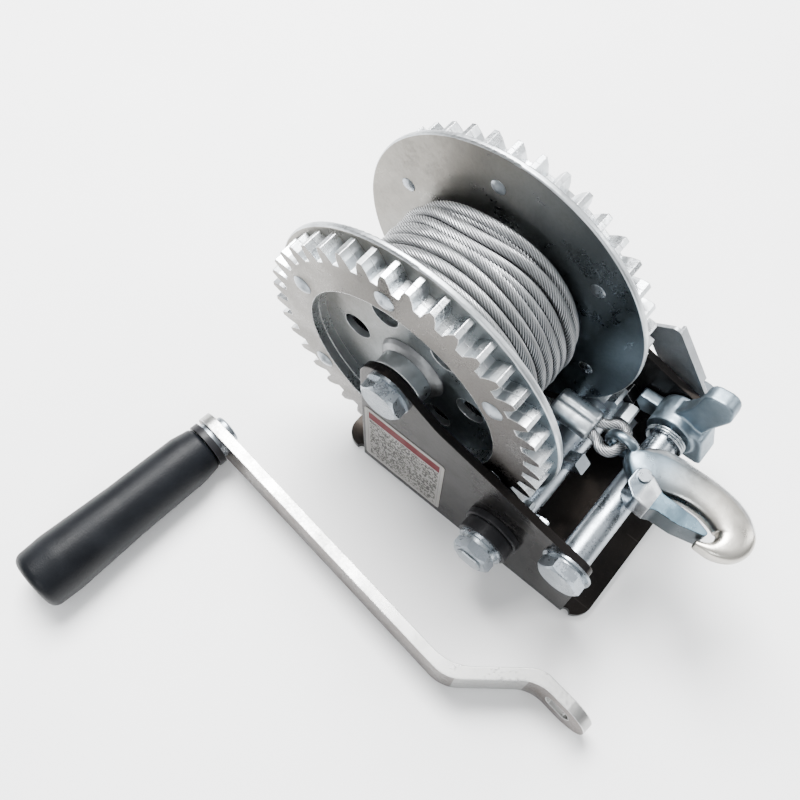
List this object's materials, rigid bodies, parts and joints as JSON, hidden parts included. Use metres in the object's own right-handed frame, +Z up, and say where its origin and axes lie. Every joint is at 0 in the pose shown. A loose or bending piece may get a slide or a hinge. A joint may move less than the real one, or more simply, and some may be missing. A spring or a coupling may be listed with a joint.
{
  "type": "boat trailer winch",
  "caption": "Hand-cranked boat trailer winch with twin-gear drum, wire rope, latched hook, ratchet pawl and a loose crank handle.",
  "frame": {"origin": "centre of the base plate's underside", "axes": "+X along the drum axle from the labelled near plate to the far plate, -Y is where the rope and hook leave, +Z up"},
  "size_m": [0.2854, 0.2727, 0.1832],
  "materials": {
    "frame_black": "gloss black paint",
    "label_print": "printed film, satin",
    "zinc_drum": "zinc plated pressed steel",
    "zinc_gear": "bright zinc plated, cut teeth",
    "rivet_steel": "zinc plated, domed",
    "weld_steel": "weld bead, plated over",
    "wire_rope": "galvanised stranded wire",
    "zinc_bolt": "bright zinc fastener",
    "shaft_steel": "turned steel",
    "ratchet_black": "black oxide, edges worn bright",
    "bush_plastic": "black nylon",
    "pawl_steel": "zinc plated casting",
    "lever_zinc": "galvanised pressing",
    "ferrule_alu": "pressed sleeve",
    "hook_steel": "forged, zinc plated",
    "latch_zinc": "bright pressed sheet",
    "crank_zinc": "zinc plated flat bar",
    "grip_rubber": "black, fine textured"
  },
  "bodies": {
    "frame": {"base_plate": "frame_black", "side_plate_near": "frame_black", "side_plate_far": "frame_black", "plate_label": "label_print", "axle_bolt": "zinc_bolt", "axle_washer_near": "zinc_bolt", "axle_washer_far": "zinc_bolt", "axle_nut": "zinc_bolt", "bushing_near": "bush_plastic", "bushing_far": "bush_plastic", "pivot_bolt": "zinc_bolt", "pivot_washer_near": "zinc_bolt", "pivot_spring_washer": "shaft_steel", "pivot_washer_far": "zinc_bolt", "pivot_nut": "zinc_bolt", "spacer_tube": "zinc_bolt", "pawl_spring": "shaft_steel", "rope_tail": "wire_rope", "rope_ferrule": "ferrule_alu", "rope_loop": "wire_rope"},
    "drum": {"drum_hub": "zinc_drum", "drum_core": "zinc_drum", "near_flange": "zinc_drum", "far_flange": "zinc_drum", "near_gear_outer": "zinc_gear", "near_gear_inner": "zinc_gear", "far_gear_inner": "zinc_gear", "far_gear_outer": "zinc_gear", "near_rivets": "rivet_steel", "far_rivets": "rivet_steel", "near_weld": "weld_steel", "far_weld": "weld_steel", "rope_winding": "wire_rope"},
    "drive": {"drive_shaft": "shaft_steel", "near_pinion": "shaft_steel", "far_pinion": "shaft_steel", "shaft_sleeve": "zinc_bolt", "shaft_lug": "zinc_bolt", "ratchet_wheel": "ratchet_black", "shaft_ring": "bush_plastic", "shaft_washer": "zinc_bolt", "spring_washer": "shaft_steel", "shaft_nut": "zinc_bolt"},
    "pawl": {"pawl": "pawl_steel"},
    "lever": {"latch_lever": "lever_zinc"},
    "hook": {"hook": "hook_steel", "latch_pin": "rivet_steel"},
    "latch": {"safety_latch": "latch_zinc"},
    "crank": {"crank_arm": "crank_zinc", "grip_bolt": "zinc_bolt", "grip_washer": "zinc_bolt", "grip_ring": "bush_plastic"},
    "grip": {"crank_grip": "grip_rubber"}
  },
  "joints": [
    {"name": "drum_spin", "type": "hinge", "parent": "frame", "child": "drum", "pos_m": [0, 0.0473, 0.103], "axis": [1, 0, 0], "continuous": true},
    {"name": "shaft_spin", "type": "hinge", "parent": "frame", "child": "drive", "pos_m": [0, -0.02059, 0.04092], "axis": [1, 0, 0], "continuous": true},
    {"name": "pawl_pivot", "type": "hinge", "parent": "frame", "child": "pawl", "pos_m": [0.04, -0.059, 0.0635], "axis": [1, 0, 0], "range_deg": [-9, 25]},
    {"name": "lever_pivot", "type": "hinge", "parent": "frame", "child": "lever", "pos_m": [0.055, -0.059, 0.0635], "axis": [1, 0, 0], "range_deg": [-30, 40]},
    {"name": "hook_swing", "type": "hinge", "parent": "frame", "child": "hook", "pos_m": [0.0055, -0.045, 0.0796], "axis": [1, 0, 0], "range_deg": [-25, 0]},
    {"name": "latch_swing", "type": "hinge", "parent": "hook", "child": "latch", "pos_m": [-0.0046, -0.0616, 0.0796], "axis": [0, 0, 1], "range_deg": [0, 9], "stiffness_Nm_per_rad": 0.02},
    {"name": "crank_lift", "type": "slide", "parent": "frame", "child": "crank", "axis": [0, 0, 1], "range_m": [0, 0.15]},
    {"name": "grip_spin", "type": "hinge", "parent": "crank", "child": "grip", "pos_m": [-0.07057, 0.12387, 0.0141], "axis": [0.9947, -0.101, -0.0201], "continuous": true}
  ],
  "couplings": [
    {"joint": "shaft_spin", "follows": "drum_spin", "ratio": -4}
  ]
}
